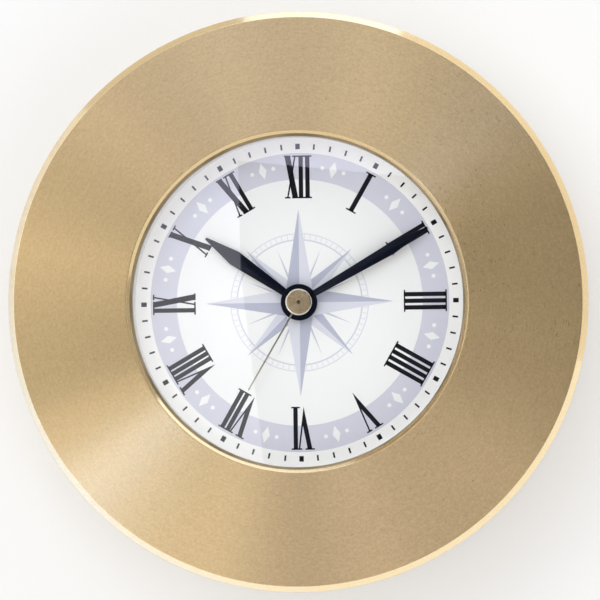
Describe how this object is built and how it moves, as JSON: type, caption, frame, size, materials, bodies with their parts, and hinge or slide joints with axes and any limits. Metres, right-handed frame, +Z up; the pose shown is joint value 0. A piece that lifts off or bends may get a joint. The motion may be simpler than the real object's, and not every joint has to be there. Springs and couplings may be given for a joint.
{
  "type": "chart weight clock",
  "caption": "Round turned brass chart weight with chamfered edges, a felt base and a quartz clock with Roman numerals set behind a flat crystal in its top.",
  "frame": {"origin": "centre of the felt's underside, on the table", "axes": "+Z up out of the dial, +Y to twelve o'clock, +X to three o'clock"},
  "size_m": [0.1016, 0.1016, 0.0269],
  "materials": {
    "brass_satin": "circular brushed, lacquered",
    "felt": "dark green wool felt",
    "steel": "bright",
    "rubber": "matt black",
    "crystal": "clear, flat",
    "dial_white": "white, printed",
    "hand_black": "black, semi-gloss",
    "white_plastic": "white, fine satin",
    "black_plastic": "black, fine spark texture",
    "grey_plastic": "grey, moulded",
    "gear_plastic": "natural acetal",
    "brass_polished": "polished",
    "copper": "copper wire and bronze strip",
    "magnet": "sintered",
    "board": "glass-fibre board",
    "can_silver": "nickel-plated"
  },
  "bodies": {
    "weight": {"weight_body": "brass_satin", "base_pad": "felt", "retaining_ring": "steel", "ring_screw_1": "steel", "ring_screw_2": "steel", "ring_screw_3": "steel", "crystal_gasket": "rubber", "crystal": "crystal", "dial_spacer": "white_plastic", "dial": "dial_white", "module_housing": "black_plastic", "front_plate": "grey_plastic", "plate_screw_1": "steel", "plate_screw_2": "steel", "plate_screw_3": "steel", "stator": "steel", "coil_core": "steel", "coil_bobbin": "white_plastic", "coil_winding": "copper", "circuit_board": "board", "quartz_can": "can_silver", "chip_cover": "black_plastic", "button_cell": "can_silver", "negative_contact": "copper", "positive_contact": "copper"},
    "seconds": {"second_wheel": "gear_plastic", "second_arbor": "steel", "second_hand": "brass_polished", "second_hand_cap": "brass_polished"},
    "intermediate": {"intermediate_wheel": "gear_plastic", "intermediate_arbor": "steel"},
    "rotor": {"rotor_pinion": "gear_plastic", "rotor_magnet": "magnet"},
    "third": {"third_wheel": "gear_plastic", "third_arbor": "steel"},
    "centre": {"centre_wheel": "gear_plastic"},
    "minutes": {"minute_arbor": "steel", "clutch_washer": "copper", "minute_hand": "hand_black"},
    "setting": {"minute_wheel": "gear_plastic", "setting_stem": "steel", "setting_knob": "black_plastic"},
    "hours": {"hour_wheel": "gear_plastic", "hour_hand": "hand_black"},
    "cover": {"battery_cover": "black_plastic"}
  },
  "joints": [
    {"name": "second_hand_turn", "type": "hinge", "parent": "weight", "child": "seconds", "pos_m": [0, 0, 0.01], "axis": [0, 0, -1], "continuous": true},
    {"name": "intermediate_turn", "type": "hinge", "parent": "weight", "child": "intermediate", "pos_m": [0.0056, -0.0097, 0.01], "axis": [0, 0, -1], "continuous": true},
    {"name": "rotor_turn", "type": "hinge", "parent": "weight", "child": "rotor", "pos_m": [0.01151, -0.00866, 0.01], "axis": [0, 0, -1], "continuous": true},
    {"name": "third_turn", "type": "hinge", "parent": "weight", "child": "third", "pos_m": [-0.00935, 0.0054, 0.011], "axis": [0, 0, -1], "continuous": true},
    {"name": "centre_turn", "type": "hinge", "parent": "weight", "child": "centre", "pos_m": [0, 0, 0.0124], "axis": [0, 0, -1], "continuous": true},
    {"name": "minute_hand_turn", "type": "hinge", "parent": "weight", "child": "minutes", "pos_m": [0, 0, 0.014], "axis": [0, 0, -1], "continuous": true},
    {"name": "setting_knob_turn", "type": "hinge", "parent": "weight", "child": "setting", "pos_m": [0.006, 0.01039, 0.008], "axis": [0, 0, -1], "continuous": true},
    {"name": "hour_hand_turn", "type": "hinge", "parent": "weight", "child": "hours", "pos_m": [0, 0, 0.015], "axis": [0, 0, -1], "continuous": true},
    {"name": "battery_cover_twist", "type": "hinge", "parent": "weight", "child": "cover", "pos_m": [-0.01455, -0.01221, 0.007], "axis": [0, 0, -1], "range_deg": [0, 60]}
  ],
  "couplings": [
    {"joint": "intermediate_turn", "follows": "second_hand_turn", "ratio": -6},
    {"joint": "rotor_turn", "follows": "second_hand_turn", "ratio": 30},
    {"joint": "third_turn", "follows": "second_hand_turn", "ratio": -0.13333},
    {"joint": "centre_turn", "follows": "second_hand_turn", "ratio": 0.016667},
    {"joint": "setting_knob_turn", "follows": "minute_hand_turn", "ratio": -0.33333},
    {"joint": "hour_hand_turn", "follows": "minute_hand_turn", "ratio": 0.083333}
  ]
}
